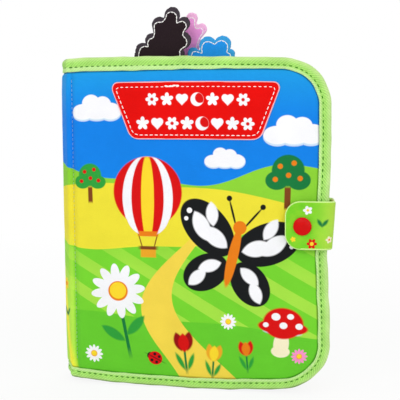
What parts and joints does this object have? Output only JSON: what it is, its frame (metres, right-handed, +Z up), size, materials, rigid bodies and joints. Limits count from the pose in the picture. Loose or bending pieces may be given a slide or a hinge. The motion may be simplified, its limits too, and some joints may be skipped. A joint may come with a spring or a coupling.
{
  "type": "baby soft book",
  "caption": "Padded cloth book for babies with bound covers, felt shapes on its leaves and a strap that snaps shut.",
  "frame": {"origin": "middle of the box's floor, on the surface that the closed book stands on", "axes": "+X from the spine to the fore-edge, +Y from the front cover to the back cover, +Z up"},
  "size_m": [0.21, 0.0544, 0.2814],
  "materials": {
    "cover_print": "printed smooth polyester cloth",
    "lining": "printed smooth polyester cloth",
    "foam": "soft sheet foam, hidden inside",
    "tape": "lime twill binding tape",
    "leaf_cloth": "printed smooth polyester cloth",
    "leaf_tape": "twill binding tape",
    "black_felt": "matt felt",
    "blue_felt": "matt felt",
    "pink_felt": "matt felt",
    "patch": "red woven cloth with white stitching",
    "strap": "printed green cloth",
    "red_plastic": "moulded plastic, satin to gloss",
    "clear_plastic": "moulded plastic, satin"
  },
  "bodies": {
    "back_cover": {"back_print": "cover_print", "back_core": "foam", "back_lining": "lining", "back_binding": "tape", "strap_tail": "strap"},
    "spine": {"spine_print": "cover_print", "spine_core": "foam", "spine_lining": "lining", "spine_top_binding": "tape", "spine_bottom_binding": "tape", "front_fold": "cover_print", "rear_fold": "cover_print", "leaf_1_stub": "leaf_tape", "leaf_2_stub": "leaf_tape", "leaf_3_stub": "leaf_tape", "leaf_4_stub": "leaf_tape"},
    "front_cover": {"front_print": "cover_print", "front_core": "foam", "front_lining": "lining", "front_binding": "tape", "title_patch": "patch", "snap_stud": "clear_plastic", "stud_cap": "clear_plastic"},
    "leaf_1": {"leaf_1_front_cloth": "leaf_cloth", "leaf_1_core": "foam", "leaf_1_back_cloth": "leaf_cloth", "leaf_1_binding": "leaf_tape", "black_felt_front": "black_felt", "black_felt_back": "black_felt"},
    "leaf_2": {"leaf_2_front_cloth": "leaf_cloth", "leaf_2_core": "foam", "leaf_2_back_cloth": "leaf_cloth", "leaf_2_binding": "leaf_tape", "blue_felt_front": "blue_felt", "blue_felt_back": "blue_felt"},
    "leaf_3": {"leaf_3_front_cloth": "leaf_cloth", "leaf_3_core": "foam", "leaf_3_back_cloth": "leaf_cloth", "leaf_3_binding": "leaf_tape", "pink_felt_front": "pink_felt", "pink_felt_back": "pink_felt"},
    "leaf_4": {"leaf_4_front_cloth": "leaf_cloth", "leaf_4_core": "foam", "leaf_4_back_cloth": "leaf_cloth", "leaf_4_binding": "leaf_tape"},
    "strap_wrap": {"strap_wrap": "strap"},
    "strap_tab": {"strap_tab_print": "strap", "strap_tab_lining": "strap", "snap_cap": "red_plastic", "snap_socket": "clear_plastic"}
  },
  "joints": [
    {"name": "cover_open", "type": "hinge", "parent": "back_cover", "child": "spine", "pos_m": [-0.08945, 0.02023, 0], "axis": [0, 0, -1], "range_deg": [0, 90]},
    {"name": "front_fold_turn", "type": "hinge", "parent": "spine", "child": "front_cover", "pos_m": [-0.08945, -0.01577, 0], "axis": [0, 0, -1], "range_deg": [0, 90]},
    {"name": "leaf_1_turn", "type": "hinge", "parent": "spine", "child": "leaf_1", "pos_m": [-0.08945, -0.00812, 0], "axis": [0, 0, -1], "range_deg": [0, 54]},
    {"name": "leaf_2_turn", "type": "hinge", "parent": "spine", "child": "leaf_2", "pos_m": [-0.08945, -0.00122, 0], "axis": [0, 0, -1], "range_deg": [0, 22.5]},
    {"name": "leaf_3_turn", "type": "hinge", "parent": "spine", "child": "leaf_3", "pos_m": [-0.08945, 0.00568, 0], "axis": [0, 0, -1], "range_deg": [-13.5, 0]},
    {"name": "leaf_4_turn", "type": "hinge", "parent": "spine", "child": "leaf_4", "pos_m": [-0.08945, 0.01258, 0], "axis": [0, 0, -1], "range_deg": [-27, 0]},
    {"name": "strap_wrap_turn", "type": "hinge", "parent": "back_cover", "child": "strap_wrap", "pos_m": [0.10405, 0.02623, 0.124], "axis": [0, 0, 1], "range_deg": [0, 90]},
    {"name": "strap_tab_turn", "type": "hinge", "parent": "strap_wrap", "child": "strap_tab", "pos_m": [0.10405, -0.02463, 0.124], "axis": [0, 0, 1], "range_deg": [0, 90]}
  ],
  "couplings": [
    {"joint": "front_fold_turn", "follows": "cover_open", "ratio": 1},
    {"joint": "leaf_1_turn", "follows": "cover_open", "ratio": 0.6},
    {"joint": "leaf_2_turn", "follows": "cover_open", "ratio": 0.25},
    {"joint": "leaf_3_turn", "follows": "cover_open", "ratio": -0.15},
    {"joint": "leaf_4_turn", "follows": "cover_open", "ratio": -0.3}
  ]
}
